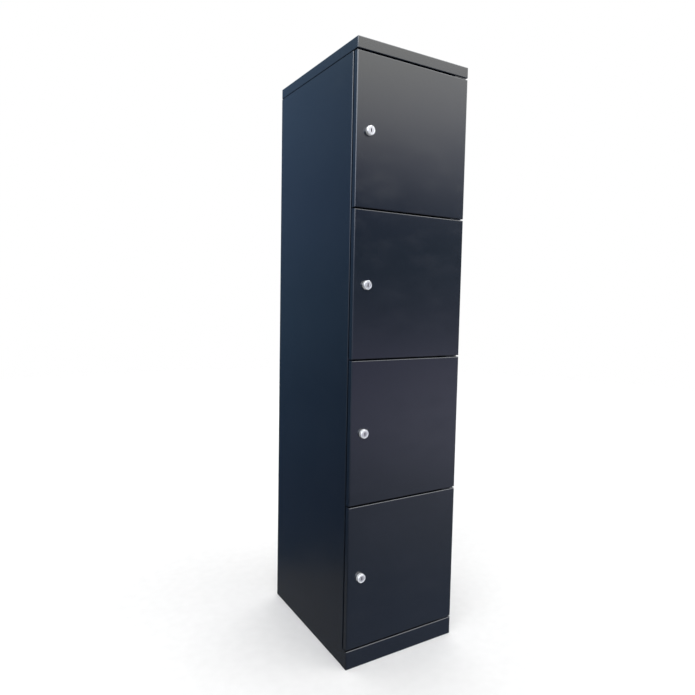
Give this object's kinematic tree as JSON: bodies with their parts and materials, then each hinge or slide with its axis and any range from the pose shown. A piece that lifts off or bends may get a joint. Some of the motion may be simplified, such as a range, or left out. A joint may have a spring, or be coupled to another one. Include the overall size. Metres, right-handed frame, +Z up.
{
  "type": "locker cabinet",
  "caption": "Tall steel locker column of stacked compartments, each behind its own full-width hinged door with a cam lock.",
  "frame": {"origin": "centre of the footprint on the floor, locks left out", "axes": "+Z up, the doors face -Y, +X is the hinge side, so +X is to the right as one faces the doors"},
  "size_m": [0.38, 0.5104, 1.75],
  "materials": {
    "carcass_paint": "satin",
    "door_paint": "satin",
    "zinc_plate": "satin",
    "lock_chrome": "polished",
    "nylon": "matte",
    "rubber": "matte"
  },
  "bodies": {
    "carcass": {"side_panel_left": "carcass_paint", "side_panel_right": "carcass_paint", "back_panel": "carcass_paint", "top_cap": "carcass_paint", "top_panel": "carcass_paint", "shelf_1": "carcass_paint", "shelf_2": "carcass_paint", "shelf_3": "carcass_paint", "base_panel": "carcass_paint", "plinth_front": "carcass_paint", "hinge_plate_top": "carcass_paint", "hinge_plate_1": "carcass_paint", "hinge_plate_2": "carcass_paint", "hinge_plate_3": "carcass_paint", "hinge_plate_base": "carcass_paint", "hinge_pins": "zinc_plate", "hinge_washers": "nylon", "hinge_rivets": "zinc_plate", "cap_screws": "zinc_plate", "door_buffers": "rubber"},
    "door_1": {"door_panel_1": "door_paint", "door_stiffener_1": "door_paint", "pivot_bushes_1": "nylon", "lock_housing_1": "lock_chrome", "lock_nut_1": "zinc_plate"},
    "lock_1": {"lock_plug_1": "lock_chrome", "lock_cam_1": "zinc_plate", "cam_nut_1": "zinc_plate"},
    "door_2": {"door_panel_2": "door_paint", "door_stiffener_2": "door_paint", "pivot_bushes_2": "nylon", "lock_housing_2": "lock_chrome", "lock_nut_2": "zinc_plate"},
    "lock_2": {"lock_plug_2": "lock_chrome", "lock_cam_2": "zinc_plate", "cam_nut_2": "zinc_plate"},
    "door_3": {"door_panel_3": "door_paint", "door_stiffener_3": "door_paint", "pivot_bushes_3": "nylon", "lock_housing_3": "lock_chrome", "lock_nut_3": "zinc_plate"},
    "lock_3": {"lock_plug_3": "lock_chrome", "lock_cam_3": "zinc_plate", "cam_nut_3": "zinc_plate"},
    "door_4": {"door_panel_4": "door_paint", "door_stiffener_4": "door_paint", "pivot_bushes_4": "nylon", "lock_housing_4": "lock_chrome", "lock_nut_4": "zinc_plate"},
    "lock_4": {"lock_plug_4": "lock_chrome", "lock_cam_4": "zinc_plate", "cam_nut_4": "zinc_plate"}
  },
  "joints": [
    {"name": "door_1_hinge", "type": "hinge", "parent": "carcass", "child": "door_1", "pos_m": [0.179, -0.241, 1.50975], "axis": [0, 0, 1], "range_deg": [0, 110]},
    {"name": "lock_1_turn", "type": "hinge", "parent": "door_1", "child": "lock_1", "pos_m": [-0.149, -0.25, 1.50975], "axis": [0, 1, 0], "range_deg": [0, 90]},
    {"name": "door_2_hinge", "type": "hinge", "parent": "carcass", "child": "door_2", "pos_m": [0.179, -0.241, 1.09625], "axis": [0, 0, 1], "range_deg": [0, 110]},
    {"name": "lock_2_turn", "type": "hinge", "parent": "door_2", "child": "lock_2", "pos_m": [-0.149, -0.25, 1.09625], "axis": [0, 1, 0], "range_deg": [0, 90]},
    {"name": "door_3_hinge", "type": "hinge", "parent": "carcass", "child": "door_3", "pos_m": [0.179, -0.241, 0.68275], "axis": [0, 0, 1], "range_deg": [0, 110]},
    {"name": "lock_3_turn", "type": "hinge", "parent": "door_3", "child": "lock_3", "pos_m": [-0.149, -0.25, 0.68275], "axis": [0, 1, 0], "range_deg": [0, 90]},
    {"name": "door_4_hinge", "type": "hinge", "parent": "carcass", "child": "door_4", "pos_m": [0.179, -0.241, 0.266], "axis": [0, 0, 1], "range_deg": [0, 110]},
    {"name": "lock_4_turn", "type": "hinge", "parent": "door_4", "child": "lock_4", "pos_m": [-0.149, -0.25, 0.266], "axis": [0, 1, 0], "range_deg": [0, 90]}
  ]
}
